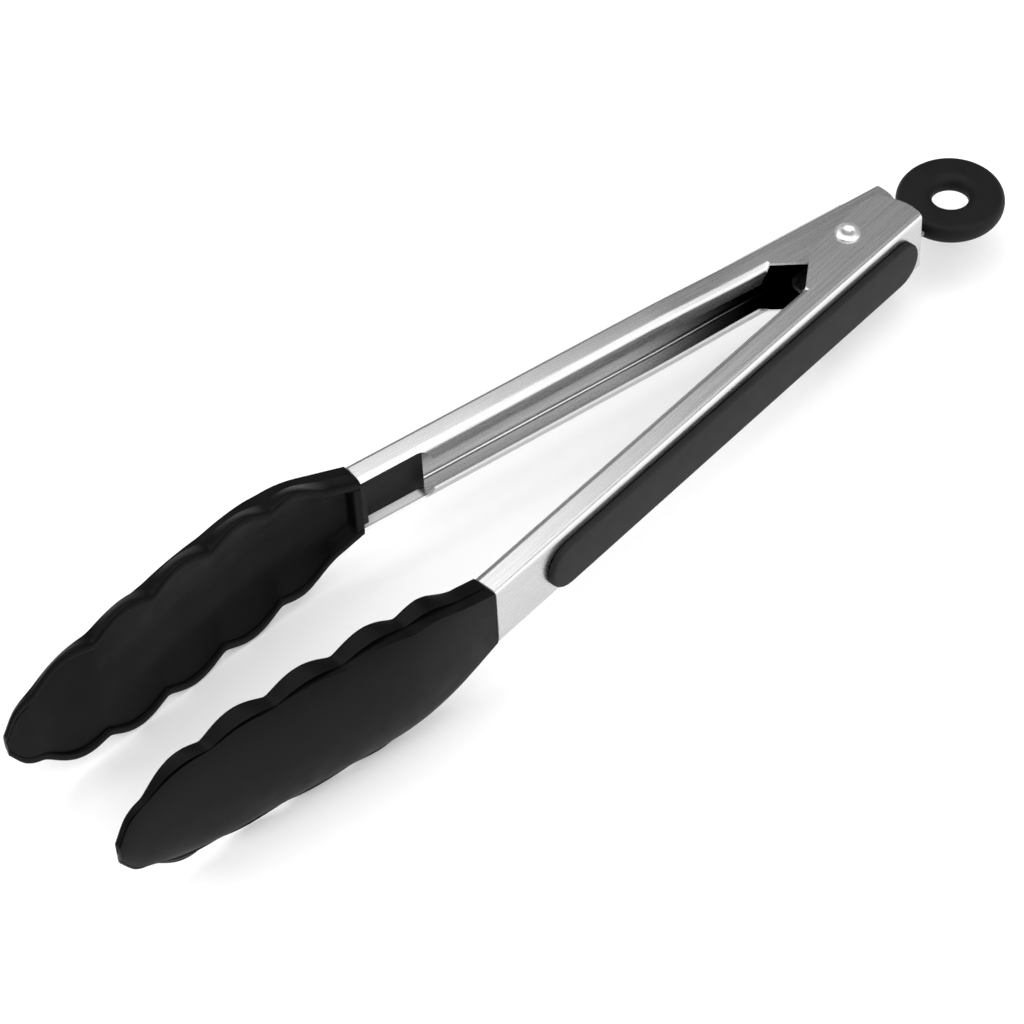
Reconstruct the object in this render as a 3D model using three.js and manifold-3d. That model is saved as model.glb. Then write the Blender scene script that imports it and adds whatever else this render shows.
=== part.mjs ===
// Spring loaded kitchen tongs, lying on their side with the jaws open.
//
// Frame: millimetres, +X towards the jaw tips along the bisector of the arms, +Y towards the outer arm,
// +Z up along the rivet. The origin is the centre of the bottom of the bounding box.
//
// Each arm is drawn in its own arm frame: u runs forward from the rivet along the arm, p runs outward
// from the rivet line to the web, and z runs along the rivet. placeOnArm() turns that frame into place.

import * as THREE from 'three';
import { mergeVertices } from 'three/addons/utils/BufferGeometryUtils.js';
import Module from 'manifold-3d';

const wasm = await Module();
wasm.setup();

// ---- Driving dimensions, mm and degrees ----

const HALF_OPENING = 6.8;          // each arm's angle from the bisector with the jaws open
const SHEET = 0.7;                 // stainless sheet of both arms
const FIT_GAP = 0.3;               // clearance between neighbouring pieces

const OUTER_HALF_HEIGHT = 10.7;    // half the height of the outer arm's channel
const INNER_HALF_HEIGHT = 10.6;    // the inner arm's channel, in front of the step
const NESTED_HALF_HEIGHT = OUTER_HALF_HEIGHT - SHEET - FIT_GAP;  // the inner arm's ears
const STEP_REAR_U = 31;            // the inner arm widens between these
const STEP_FRONT_U = 47;

const WEB_P = 11.9;                // outside face of the web
const WEB_BEND_R = 1.8;            // outside radius of the bend between web and flange
const LIP_BEND_R = 2.6;            // outside radius of the bend between flange and lip
const LIP_BEND_P = 6.1;            // where the flange starts to bend into the lip
const LIP_BEND_ANGLE = 70;         // the lip flares, so the bend stops short of a right angle
const LIP_LENGTH = 2.8;            // straight part of the lip
const FRONT_BEND_ANGLE = 50;       // how far the bend goes where the lip is trimmed off

const ARM_FRONT_U = 163.5;         // front end of the metal
const LIP_FRONT_U = 141.0;         // the lip is trimmed off in front of this
const LIP_REAR_U = 26.5;           // the lip ends behind the notch
const NOTCH_U = 24.6;              // corner where the flange deepens into the ear
const NOTCH_P = 4.4;
const EAR_FRONT_U = 11.3;
const EAR_P = -4.6;                // inner edge of the ear
const EAR_CORNER_R = 6.2;
const EAR_CORNER_U = -13.0;
const ARM_REAR_U = -20.4;
const EAR_BULGE_U = -21.3;         // the rear edge bulges towards this between the corner and the web
const ARM_REAR_CORNER_U = -18.6;   // rear end at the web
const EAR_OVERLAP = 1.5;           // the ears run this far into the channel, to be joined to it

const RIVET_SHANK_R = 2.4;
const RIVET_HOLE_R = 2.6;
const RIVET_HEAD_R = 3.75;
const RIVET_HEAD_HEIGHT = 0.95;
const RIVET_EDGE_HEIGHT = 0.3;     // straight side of the head, below its dome
const RIVET_DISH_R = 2.0;
const RIVET_DISH_DEPTH = 0.45;
const RIVET_SEAT_GAP = 0.05;

const BUSH_OUTER_R = 3.9;
const BUSH_INNER_R = 2.6;

const WIRE_R = 0.7;
const COIL_R = 5.1;                // centre line of the spring's coil
const COIL_TURNS = 4;
const COIL_PITCH = 1.65;
const COIL_BOTTOM_Z = -2.2;
const SPRING_LEG_U = 24;           // where the legs press on the webs
const SPRING_SIDES = 4;            // curve segments of the wire's section

const LOCK_Z = -5.0;               // mid-height of the lock strip and the pull ring
const LOCK_SHEET = 1.2;
const LOCK_TRAVEL = 8;
const LOCK_SHOULDER_WIDTH = 17.4;
const LOCK_TAIL_WIDTH = 9;
const LOCK_CORNER = 3;             // corner radius in front, and run of the slope behind the shoulders
const LOCK_FRONT_WEB = 3;          // metal left in front of the slot
const LOCK_REAR_WEB = 2;           // and behind it
const RING_X = -42.5;              // centre of the ring, measured from the rivet, pushed in
const RING_OUTER_R = 16.0;
const RING_HOLE_R = 5.3;
const RING_FUNNEL_R = 8.6;         // where the hole's funnel meets the flat face
const RING_THICKNESS = 6.4;
const RING_EDGE_R = 2.3;
const RING_POCKET_DEPTH = 6.0;     // the strip's tail goes this far into the ring

const GRIP_REAR_U = -15.6;
const GRIP_FRONT_U = 143.6;
const GRIP_THICKNESS = 2.1;
const GRIP_HALF_WIDTH = 7.65;
const GRIP_Z = -1.05;              // the pads sit a little below the middle of the webs
const GRIP_BEVEL = 0.7;

const TONGUE_P = 8.2;              // inner face of the core's tongue inside the channel
const COLLAR_P = 4.9;
const COLLAR_LENGTH = 1.8;
const COLLAR_SIDE_MARGIN = 1.6;    // the collar is this much narrower than the tongue on each side
const TONGUE_CHAMFER = 1.5;
const BLADE_THICKNESS = 1.9;
const BLADE_END_U = 246;
const BLADE_WIDTH_RATIO = 0.55;    // of the head's width

const HEAD_REAR_U = ARM_FRONT_U + FIT_GAP;
const HEAD_TIP_U = 283.5;
const LOBE_PITCH = 20.3;           // from valley to valley of the scalloped rim
const FIRST_VALLEY_U = 192.6;
const LOBE_HEIGHT = 3.5;           // the lobes stand this far out of the valleys
const RIM_BAND = 3.6;              // height of the side wall that carries the lobes
const RIM_EDGE = 0.5;              // chamfer where that wall meets the rim
const BAND_FOOT = 0.35;            // the side wall starts this far out from the back's edge to the rim
const SHOULDER_INSET = 0.6;        // from the valleys in to the edge of the back
const SHOULDER_SWELL = 0.25;       // how far the edge of the back follows the lobes
const BACK_OVERHANG = 1.2;         // the back's crown runs out this far outside the valleys
const BACK_ROUNDNESS = 0.97;       // below 1, so that the back never gets quite as steep as the wall
const UPPER_FULLNESS = 0.5;        // the crown drops this much less on the upper side than on the lower
const RIM_WALL = 3.0;              // thickness of the rim
const FLOOR_THICKNESS = 4.9;       // from the floor of the scoop to the back
const FLOOR_HALF_WIDTH = 7.5;      // the floor is flat between the sloping sides of the scoop
const SCOOP_EDGE_DEPTH = 0.8;      // the sides start this deep below the rim
const HEEL_WALL = 2.0;             // wall between the metal and the scoop
const TIP_WALL = 7.0;              // solid tip in front of the scoop
const TIP_RISE = 1.2;              // the tip turns up by this much, in front of TIP_RISE_U
const TIP_RISE_U = 246;

// Head stations: [u, value]. Width is at the valleys of the rim; p is positive towards the back.
const RIM_HALF_WIDTH = [[163, 10.5], [178, 15.8], [193, 19.8], [214, 21.2], [234, 21.2], [254, 19.8], [270, 15.4],
  [279, 10.0], [284, 2.0]];
const RIM_P = [[163, 3.9], [180, 3.6], [193, 2.2], [213, -0.8], [233, -4.6], [253, -8.1], [274, -9.9], [284, -10.5]];
const BACK_P = [[163, 11.9], [180, 12.4], [193, 11.9], [205, 9.8], [216, 7.3], [228, 4.4], [242, 0.6], [256, -2.9],
  [270, -6.0], [284, -8.8]];
const BACK_CROWN = [[163, 0.4], [180, 3.4], [195, 6.2], [215, 7.6], [235, 7.4], [255, 5.4], [272, 3.6], [284, 1.6]];

const CURVE_SEGMENTS = 24;

const COLOURS = {
  steel: { color: 0xb9babb, roughness: 0.34, metalness: 1.0 },
  rivet: { color: 0xe6e6e8, roughness: 0.12, metalness: 1.0 },
  zinc: { color: 0x8e8f91, roughness: 0.45, metalness: 0.9 },
  nylon: { color: 0x1c1c1d, roughness: 0.42, metalness: 0.0 },
  rubber: { color: 0x242425, roughness: 0.72, metalness: 0.0 },
  silicone: { color: 0x1d1d1e, roughness: 0.6, metalness: 0.0 },
};

// ---- Solids and booleans ----

function toSolid(geometry) {
  const bare = geometry.index ? geometry.toNonIndexed() : geometry.clone();
  bare.deleteAttribute('normal');
  bare.deleteAttribute('uv');
  const merged = mergeVertices(bare, 1e-4);
  return new wasm.Manifold(new wasm.Mesh({
    numProp: 3,
    vertProperties: new Float32Array(merged.attributes.position.array),
    triVerts: new Uint32Array(merged.index.array),
  }));
}

function toGeometry(solid) {
  const mesh = solid.getMesh();
  const geometry = new THREE.BufferGeometry();
  geometry.setAttribute('position', new THREE.BufferAttribute(new Float32Array(mesh.vertProperties), 3));
  geometry.setIndex(new THREE.BufferAttribute(new Uint32Array(mesh.triVerts), 1));
  geometry.computeVertexNormals();
  return geometry;
}

function union(solids) {
  return solids.reduce((whole, piece) => whole.add(piece));
}

function subtractAll(solid, cutters) {
  return cutters.reduce((rest, cutter) => rest.subtract(cutter), solid);
}

function boxSolid(low, high) {
  const box = new THREE.BoxGeometry(high[0] - low[0], high[1] - low[1], high[2] - low[2]);
  box.translate((low[0] + high[0]) / 2, (low[1] + high[1]) / 2, (low[2] + high[2]) / 2);
  return toSolid(box);
}

// A shape drawn in (x, y), extruded from z0 to z1.
function prism(shape, z0, z1, curveSegments = 8) {
  const geometry = new THREE.ExtrudeGeometry(shape, { depth: z1 - z0, bevelEnabled: false, curveSegments });
  geometry.translate(0, 0, z0);
  return toSolid(geometry);
}

// A cross-section drawn in (p, z), extruded along the arm from u0 to u1. Arm frame axes are (u, p, z).
function extrudeAlongArm(section, u0, u1) {
  const shape = new THREE.Shape(section.map(([p, z]) => new THREE.Vector2(p, z)));
  const geometry = new THREE.ExtrudeGeometry(shape, { depth: u1 - u0, bevelEnabled: false });
  geometry.applyMatrix4(new THREE.Matrix4().set(0, 0, 1, u0, 1, 0, 0, 0, 0, 1, 0, 0, 0, 0, 0, 1));
  return toSolid(geometry);
}

// Turns a radius-height profile, which starts and ends on the axis or closes on itself, about +Z.
function revolve(profile, segments = CURVE_SEGMENTS) {
  return toSolid(new THREE.LatheGeometry(profile.map(([r, z]) => new THREE.Vector2(r, z)), segments)
    .rotateX(Math.PI / 2));
}

// Skins a row of closed rings, each a list of [u, p, z] with the same count, and caps both ends.
function loft(rings) {
  const count = rings[0].length;
  const positions = rings.flat(2);
  const index = [];
  for (let i = 0; i + 1 < rings.length; i += 1) {
    for (let j = 0; j < count; j += 1) {
      const a = i * count + j;
      const b = i * count + (j + 1) % count;
      index.push(a, b, a + count, b, b + count, a + count);
    }
  }
  [[rings[0], 0, false], [rings.at(-1), (rings.length - 1) * count, true]].forEach(([ring, base, isLast]) => {
    const outline = ring.map(([, p, z]) => new THREE.Vector2(p, z));
    THREE.ShapeUtils.triangulateShape(outline, []).forEach(([a, b, c]) => {
      index.push(base + a, base + (isLast ? b : c), base + (isLast ? c : b));
    });
  });
  const geometry = new THREE.BufferGeometry();
  geometry.setAttribute('position', new THREE.Float32BufferAttribute(positions, 3));
  geometry.setIndex(index);
  const solid = toSolid(geometry);
  if (solid.volume() > 0) {
    return solid;
  }
  for (let k = 0; k < index.length; k += 3) {
    [index[k], index[k + 1]] = [index[k + 1], index[k]];
  }
  geometry.setIndex(index);
  return toSolid(geometry);
}

// Smooth interpolation through [u, value] stations.
function through(stations) {
  const last = stations.length - 1;
  const slope = (i) => {
    const before = stations[Math.max(i - 1, 0)];
    const after = stations[Math.min(i + 1, last)];
    return (after[1] - before[1]) / (after[0] - before[0]);
  };
  return (u) => {
    const passed = stations.filter(([station]) => station <= u).length;
    const i = THREE.MathUtils.clamp(passed - 1, 0, last - 1);
    const [u0, v0] = stations[i];
    const [u1, v1] = stations[i + 1];
    const span = u1 - u0;
    const t = THREE.MathUtils.clamp((u - u0) / span, 0, 1);
    const t2 = t * t;
    const t3 = t2 * t;
    return v0 * (2 * t3 - 3 * t2 + 1) + slope(i) * span * (t3 - 2 * t2 + t)
      + v1 * (3 * t2 - 2 * t3) + slope(i + 1) * span * (t3 - t2);
  };
}

// ---- Arms ----

// Centre line of half the channel, from the middle of the web to the free edge, as [p, z] points with
// the unit normal that points out of the channel.
function channelCentreLine(halfHeight, bendAngle, lipLength) {
  const half = SHEET / 2;
  const top = halfHeight - half;
  const points = [{ p: WEB_P - half, z: 0, nx: 1, nz: 0 }];
  const webR = WEB_BEND_R - half;
  const lipR = LIP_BEND_R - half;
  const addArc = (cp, cz, radius, from, to, steps) => {
    for (let i = 0; i <= steps; i += 1) {
      const angle = THREE.MathUtils.degToRad(from + (to - from) * i / steps);
      const nx = Math.cos(angle);
      const nz = Math.sin(angle);
      points.push({ p: cp + radius * nx, z: cz + radius * nz, nx, nz });
    }
  };
  addArc(WEB_P - half - webR, top - webR, webR, 0, 90, 4);
  if (bendAngle > 0) {
    addArc(LIP_BEND_P, top - lipR, lipR, 90, 90 + bendAngle, 5);
  } else {
    points.push({ p: lipLength, z: top, nx: 0, nz: 1 });
    return points;
  }
  const end = points.at(-1);
  if (lipLength > 0) {
    points.push({ ...end, p: end.p - end.nz * lipLength, z: end.z + end.nx * lipLength });
  }
  return points;
}

// The whole channel as a closed outline: the outside one way and the inside back.
function channelSection(halfHeight, bendAngle, lipLength) {
  const upper = channelCentreLine(halfHeight, bendAngle, lipLength);
  const lower = upper.slice(1).map(({ p, z, nx, nz }) => ({ p, z: -z, nx, nz: -nz })).reverse();
  const line = [...lower, ...upper];
  const side = (sign) => line.map(({ p, z, nx, nz }) => [p + sign * nx * SHEET / 2, z + sign * nz * SHEET / 2]);
  return [...side(1), ...side(-1).reverse()];
}

// Plan of the rear of an arm: web, rounded rear end, ear and notch, in (u, p).
function earPlan() {
  const plan = new THREE.Shape();
  plan.moveTo(NOTCH_U + EAR_OVERLAP, WEB_P + 1);
  plan.lineTo(NOTCH_U + EAR_OVERLAP, NOTCH_P);
  plan.lineTo(NOTCH_U, NOTCH_P);
  plan.lineTo(EAR_FRONT_U, EAR_P);
  plan.lineTo(EAR_CORNER_U, EAR_P);
  plan.absarc(EAR_CORNER_U, EAR_P + EAR_CORNER_R, EAR_CORNER_R, -Math.PI / 2, -Math.PI, true);
  plan.quadraticCurveTo(EAR_BULGE_U, WEB_P - 5, ARM_REAR_CORNER_U, WEB_P + 1);
  return plan;
}

// Half height of the channel along the arm: level, then a smooth step up in front of the ears.
function channelHeight(arm, u) {
  const rise = THREE.MathUtils.smoothstep(u, STEP_REAR_U, STEP_FRONT_U);
  return THREE.MathUtils.lerp(arm.earHalfHeight, arm.halfHeight, rise);
}

function channelLength(arm, u0, u1, bendAngle, lipLength) {
  const stepSegments = 4;
  const inStep = Array.from({ length: stepSegments + 1 }, (unused, i) => THREE.MathUtils.lerp(
    STEP_REAR_U, STEP_FRONT_U, i / stepSegments));
  const stations = [u0, ...(arm.earHalfHeight < arm.halfHeight ? inStep : []), u1];
  return loft(stations.map((u) => channelSection(channelHeight(arm, u), bendAngle, lipLength)
    .map(([p, z]) => [u, p, z])));
}

function buildArm(arm) {
  const tall = arm.halfHeight + 1;
  const deep = channelSection(arm.earHalfHeight, 0, EAR_P - 1);
  const earLength = extrudeAlongArm(deep, ARM_REAR_U - 1, NOTCH_U + EAR_OVERLAP);
  const ears = earLength.intersect(prism(earPlan(), -tall, tall));
  const channel = channelLength(arm, NOTCH_U + 1, ARM_FRONT_U, FRONT_BEND_ANGLE, 0);
  const lips = channelLength(arm, LIP_REAR_U, LIP_FRONT_U, LIP_BEND_ANGLE, LIP_LENGTH);
  const hole = toSolid(new THREE.CylinderGeometry(RIVET_HOLE_R, RIVET_HOLE_R, 4 * tall, CURVE_SEGMENTS)
    .rotateX(Math.PI / 2));
  return union([ears, channel, lips]).subtract(hole);
}

// ---- Pivot ----

// Shank between two low domed heads; the upper one is dished in the middle.
function buildRivet() {
  const seat = OUTER_HALF_HEIGHT + RIVET_SEAT_GAP;
  const headTop = seat + RIVET_HEAD_HEIGHT;
  const dome = (sign) => [
    [RIVET_HEAD_R, sign * seat],
    [RIVET_HEAD_R, sign * (seat + RIVET_EDGE_HEIGHT)],
    [RIVET_HEAD_R - 0.25, sign * (headTop - 0.3)],
    [RIVET_HEAD_R - 0.75, sign * (headTop - 0.07)],
    [RIVET_HEAD_R - 1.2, sign * headTop],
  ];
  return revolve([
    [0, -headTop],
    ...dome(-1).reverse(),
    [RIVET_SHANK_R, -seat],
    [RIVET_SHANK_R, seat],
    ...dome(1),
    [RIVET_DISH_R, headTop],
    [RIVET_DISH_R * 0.6, headTop - RIVET_DISH_DEPTH * 0.7],
    [0, headTop - RIVET_DISH_DEPTH],
  ]);
}

function buildBush() {
  const end = NESTED_HALF_HEIGHT - SHEET - FIT_GAP;
  return revolve([
    [BUSH_INNER_R, -end],
    [BUSH_OUTER_R, -end],
    [BUSH_OUTER_R, end],
    [BUSH_INNER_R, end],
    [BUSH_INNER_R, -end],
  ]);
}

// Wire centre line: a leg along one arm's web, the coil about the rivet, a leg along the other web.
function springPath() {
  const angle = THREE.MathUtils.degToRad(HALF_OPENING);
  const legP = WEB_P - SHEET - FIT_GAP - WIRE_R;
  const points = [];
  const coilTop = COIL_BOTTOM_Z + COIL_TURNS * COIL_PITCH;
  const legPoint = (side, u, p, z) => new THREE.Vector3(
    u * Math.cos(angle) - p * Math.sin(angle),
    side * (u * Math.sin(angle) + p * Math.cos(angle)),
    z,
  );
  points.push(legPoint(1, SPRING_LEG_U, legP, COIL_BOTTOM_Z));
  points.push(legPoint(1, SPRING_LEG_U * 0.7, legP - 0.9, COIL_BOTTOM_Z));
  points.push(legPoint(1, SPRING_LEG_U * 0.35, legP - 3.0, COIL_BOTTOM_Z));
  const perTurn = 12;
  const sweep = COIL_TURNS + 0.5;
  for (let i = 0; i <= perTurn * sweep; i += 1) {
    const turn = i / perTurn;
    const theta = Math.PI / 2 + turn * 2 * Math.PI;
    const z = COIL_BOTTOM_Z + (coilTop - COIL_BOTTOM_Z) * turn / sweep;
    points.push(new THREE.Vector3(COIL_R * Math.cos(theta), COIL_R * Math.sin(theta), z));
  }
  points.push(legPoint(-1, SPRING_LEG_U * 0.35, legP - 3.0, coilTop));
  points.push(legPoint(-1, SPRING_LEG_U * 0.7, legP - 0.9, coilTop));
  points.push(legPoint(-1, SPRING_LEG_U, legP, coilTop));
  return new THREE.CatmullRomCurve3(points);
}

function buildSpring() {
  const section = new THREE.Shape();
  section.absarc(0, 0, WIRE_R, 0, 2 * Math.PI);
  return toSolid(new THREE.ExtrudeGeometry(section, {
    extrudePath: springPath(),
    steps: 84,
    curveSegments: SPRING_SIDES,
    bevelEnabled: false,
  }));
}

// ---- Lock strip and pull ring ----

// Flat strip with a slot that runs round the bush; its tail goes into the ring's pocket.
function buildLockStrip() {
  const slotR = BUSH_OUTER_R + FIT_GAP;
  const front = slotR + LOCK_TRAVEL + LOCK_FRONT_WEB;
  const shoulderRear = -slotR - LOCK_REAR_WEB;
  const tailEnd = RING_X + RING_OUTER_R - RING_POCKET_DEPTH + FIT_GAP;
  const halfShoulder = LOCK_SHOULDER_WIDTH / 2;
  const halfTail = LOCK_TAIL_WIDTH / 2;
  const shape = new THREE.Shape();
  shape.moveTo(tailEnd, -halfTail);
  shape.lineTo(shoulderRear - LOCK_CORNER, -halfTail);
  shape.lineTo(shoulderRear, -halfShoulder);
  shape.lineTo(front - LOCK_CORNER, -halfShoulder);
  shape.absarc(front - LOCK_CORNER, LOCK_CORNER - halfShoulder, LOCK_CORNER, -Math.PI / 2, 0);
  shape.absarc(front - LOCK_CORNER, halfShoulder - LOCK_CORNER, LOCK_CORNER, 0, Math.PI / 2);
  shape.lineTo(shoulderRear, halfShoulder);
  shape.lineTo(shoulderRear - LOCK_CORNER, halfTail);
  shape.lineTo(tailEnd, halfTail);
  const slot = new THREE.Path();
  slot.absarc(0, 0, slotR, Math.PI / 2, 1.5 * Math.PI);
  slot.absarc(LOCK_TRAVEL, 0, slotR, -Math.PI / 2, Math.PI / 2);
  shape.holes.push(slot);
  return prism(shape, LOCK_Z - LOCK_SHEET / 2, LOCK_Z + LOCK_SHEET / 2, 8);
}

// Flat ring with a rounded rim and a funnel-shaped hole.
function buildRing() {
  const half = RING_THICKNESS / 2;
  const profile = [];
  const addArc = (cr, cz, rr, rz, from, to, steps) => {
    for (let i = 0; i <= steps; i += 1) {
      const angle = THREE.MathUtils.degToRad(from + (to - from) * i / steps);
      profile.push([cr + rr * Math.cos(angle), cz + rz * Math.sin(angle)]);
    }
  };
  addArc(RING_OUTER_R - RING_EDGE_R, 0, RING_EDGE_R, half, -90, 90, 6);
  addArc(RING_FUNNEL_R, 0, RING_FUNNEL_R - RING_HOLE_R, half, 90, 270, 6);
  profile.push(profile[0]);
  const ring = revolve(profile, 40);
  const placed = ring.translate([RING_X, 0, LOCK_Z]);
  const gap = FIT_GAP;
  const pocket = boxSolid(
    [RING_X + RING_OUTER_R - RING_POCKET_DEPTH, -LOCK_TAIL_WIDTH / 2 - gap, LOCK_Z - LOCK_SHEET / 2 - gap],
    [RING_X + RING_OUTER_R + 1, LOCK_TAIL_WIDTH / 2 + gap, LOCK_Z + LOCK_SHEET / 2 + gap],
  );
  return placed.subtract(pocket);
}

// ---- Grip pads ----

// Soft pad with round ends and softened edges, bonded to the outside of the web.
function buildGripPad() {
  const r = GRIP_HALF_WIDTH - GRIP_BEVEL;
  const rear = GRIP_REAR_U + GRIP_HALF_WIDTH;
  const front = GRIP_FRONT_U - GRIP_HALF_WIDTH;
  const outline = new THREE.Shape();
  outline.absarc(front, -GRIP_Z, r, -Math.PI / 2, Math.PI / 2);
  outline.absarc(rear, -GRIP_Z, r, Math.PI / 2, 1.5 * Math.PI);
  const geometry = new THREE.ExtrudeGeometry(outline, {
    depth: GRIP_THICKNESS - GRIP_BEVEL,
    bevelEnabled: true,
    bevelThickness: GRIP_BEVEL,
    bevelSize: GRIP_BEVEL,
    bevelSegments: 3,
    curveSegments: 16,
  });
  const base = WEB_P + FIT_GAP;
  const wide = 2 * GRIP_HALF_WIDTH;
  const outside = boxSolid([GRIP_REAR_U - 1, base, -wide], [GRIP_FRONT_U + 1, base + 2 * GRIP_THICKNESS, wide]);
  geometry.applyMatrix4(new THREE.Matrix4().set(1, 0, 0, 0, 0, 0, 1, base, 0, -1, 0, 0, 0, 0, 0, 1));
  return toSolid(geometry).intersect(outside);
}

// ---- Heads ----

const valleyHalfWidth = through(RIM_HALF_WIDTH);
const rimP = through(RIM_P);
const backCentreP = through(BACK_P);
const backCrown = through(BACK_CROWN);

// Round lobes that meet in sharp valleys, faded out at the heel and at the tip.
function lobe(u) {
  const wave = Math.abs(Math.sin(Math.PI * (u - FIRST_VALLEY_U) / LOBE_PITCH));
  const heelFade = THREE.MathUtils.smoothstep(u, HEAD_REAR_U + 4, FIRST_VALLEY_U - 6);
  const tipFade = 1 - THREE.MathUtils.smoothstep(u, HEAD_TIP_U - 16, HEAD_TIP_U);
  return LOBE_HEIGHT * wave * heelFade * (0.35 + 0.65 * tipFade);
}

function rimHalfWidth(u) {
  return valleyHalfWidth(u) + lobe(u);
}

// Outer surface of the back: crowned across its width, and fuller on the upper side.
function backP(u, z) {
  const across = Math.min(Math.abs(z) / (valleyHalfWidth(u) + BACK_OVERHANG), 1);
  const crown = backCrown(u) * (z > 0 ? UPPER_FULLNESS : 1);
  return backCentreP(u) - crown * (1 - Math.sqrt(1 - BACK_ROUNDNESS * across * across));
}

function evenStations(from, to, step) {
  const count = Math.ceil((to - from) / step);
  return Array.from({ length: count + 1 }, (unused, i) => THREE.MathUtils.lerp(from, to, i / count));
}

// The tip turns slightly up.
function lift(ring) {
  return ring.map(([u, p, z]) => [u, p, z + TIP_RISE * THREE.MathUtils.smoothstep(u, TIP_RISE_U, HEAD_TIP_U)]);
}

// Outside of the cover: a smooth back, and a band round it that spreads out into the scalloped rim.
function outerRing(u) {
  const rim = rimHalfWidth(u);
  const valley = valleyHalfWidth(u);
  const shoulder = Math.max(valley - SHOULDER_INSET, 0.6 * valley) + SHOULDER_SWELL * (rim - valley);
  const ring = [];
  const steps = 8;
  for (let i = 0; i <= steps; i += 1) {
    const z = shoulder * Math.sin((i / steps - 0.5) * Math.PI);
    ring.push([u, backP(u, z), z]);
  }
  const bandTop = (side) => Math.min(rimP(u) + RIM_BAND, backP(u, side * shoulder) - 0.2);
  const foot = THREE.MathUtils.lerp(shoulder, rim, BAND_FOOT);
  ring.push([u, bandTop(1), foot], [u, rimP(u) + RIM_EDGE, rim], [u, rimP(u), rim - RIM_EDGE]);
  ring.push([u, rimP(u), RIM_EDGE - rim], [u, rimP(u) + RIM_EDGE, -rim], [u, bandTop(-1), -foot]);
  return lift(ring);
}

// Hollow of the scoop: a flat floor between sides that slope up to the rim's inner edge.
function hollowRing(u) {
  const wall = rimHalfWidth(u) - RIM_WALL;
  const floor = Math.min(FLOOR_HALF_WIDTH, 0.7 * wall);
  const edge = rimP(u) + SCOOP_EDGE_DEPTH;
  const depth = Math.max(backCentreP(u) - FLOOR_THICKNESS, edge + 0.1);
  const above = rimP(u) - 3;
  return lift([
    [u, depth, -floor], [u, depth, floor], [u, edge, wall], [u, above, wall], [u, above, -wall], [u, edge, -wall],
  ]);
}

// Section of the core's blade, or of its pocket when grown by a clearance.
function bladeRing(u, grow) {
  const half = valleyHalfWidth(u) * BLADE_WIDTH_RATIO + grow;
  const middle = FLOOR_THICKNESS / 2;
  const depth = BLADE_THICKNESS / 2 + grow;
  const steps = 4;
  const across = Array.from({ length: steps + 1 }, (unused, i) => half * (2 * i / steps - 1));
  const outer = across.map((z) => [u, backP(u, z) - middle + depth, z]);
  const inner = across.map((z) => [u, backP(u, z) - middle - depth, z]).reverse();
  return [...outer, ...inner];
}

function bladeSolid(from, grow) {
  return loft(evenStations(from, BLADE_END_U + grow, 6).map((u) => bladeRing(u, grow)));
}

function buildHeadCover() {
  const outside = loft(evenStations(HEAD_REAR_U, HEAD_TIP_U, 2.9).map(outerRing));
  const hollow = loft(evenStations(HEAD_REAR_U + HEEL_WALL, HEAD_TIP_U - TIP_WALL, 2.9).map(hollowRing));
  const pocket = bladeSolid(HEAD_REAR_U - 2, FIT_GAP);
  return subtractAll(outside, [hollow, pocket]);
}

// Nylon core: a tongue inside the channel, a collar at its front end, and a blade inside the cover.
function buildHeadCore(halfHeight) {
  const inside = halfHeight - SHEET - FIT_GAP;
  const webFace = WEB_P - SHEET - FIT_GAP;
  const tongueSection = [
    [TONGUE_P, -inside],
    [webFace - TONGUE_CHAMFER, -inside],
    [webFace, TONGUE_CHAMFER - inside],
    [webFace, inside - TONGUE_CHAMFER],
    [webFace - TONGUE_CHAMFER, inside],
    [TONGUE_P, inside],
  ];
  const tongue = extrudeAlongArm(tongueSection, LIP_FRONT_U + FIT_GAP, ARM_FRONT_U);
  const collar = boxSolid(
    [ARM_FRONT_U - COLLAR_LENGTH, COLLAR_P, COLLAR_SIDE_MARGIN - inside],
    [ARM_FRONT_U, TONGUE_P + 1, inside - COLLAR_SIDE_MARGIN],
  );
  const blade = bladeSolid(ARM_FRONT_U - 1, 0);
  return union([tongue, collar, blade]);
}

// ---- Assembly ----

function piece(name, solid, finish) {
  const mesh = new THREE.Mesh(toGeometry(solid), new THREE.MeshStandardMaterial(COLOURS[finish]));
  mesh.name = name;
  return mesh;
}

// side +1 is the outer arm on +Y; -1 mirrors the arm frame for the inner arm on -Y.
function placeOnArm(solid, side) {
  const mirrored = side > 0 ? solid : solid.mirror([0, 1, 0]);
  return mirrored.rotate([0, 0, side * HALF_OPENING]);
}

const arms = [
  { prefix: 'outer', side: 1, halfHeight: OUTER_HALF_HEIGHT, earHalfHeight: OUTER_HALF_HEIGHT },
  { prefix: 'inner', side: -1, halfHeight: INNER_HALF_HEIGHT, earHalfHeight: NESTED_HALF_HEIGHT },
];

const tongs = new THREE.Group();
tongs.name = 'kitchen_tongs';

arms.forEach((arm) => {
  const { prefix, side } = arm;
  tongs.add(piece(`${prefix}_arm`, placeOnArm(buildArm(arm), side), 'steel'));
  tongs.add(piece(`${prefix}_grip_pad`, placeOnArm(buildGripPad(), side), 'rubber'));
  tongs.add(piece(`${prefix}_head_core`, placeOnArm(buildHeadCore(arm.halfHeight), side), 'nylon'));
  tongs.add(piece(`${prefix}_head_cover`, placeOnArm(buildHeadCover(), side), 'silicone'));
});

tongs.add(piece('pivot_rivet', buildRivet(), 'rivet'));
tongs.add(piece('spring_bush', buildBush(), 'nylon'));
tongs.add(piece('torsion_spring', buildSpring(), 'zinc'));
tongs.add(piece('lock_strip', buildLockStrip(), 'zinc'));
tongs.add(piece('pull_ring', buildRing(), 'rubber'));

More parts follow.
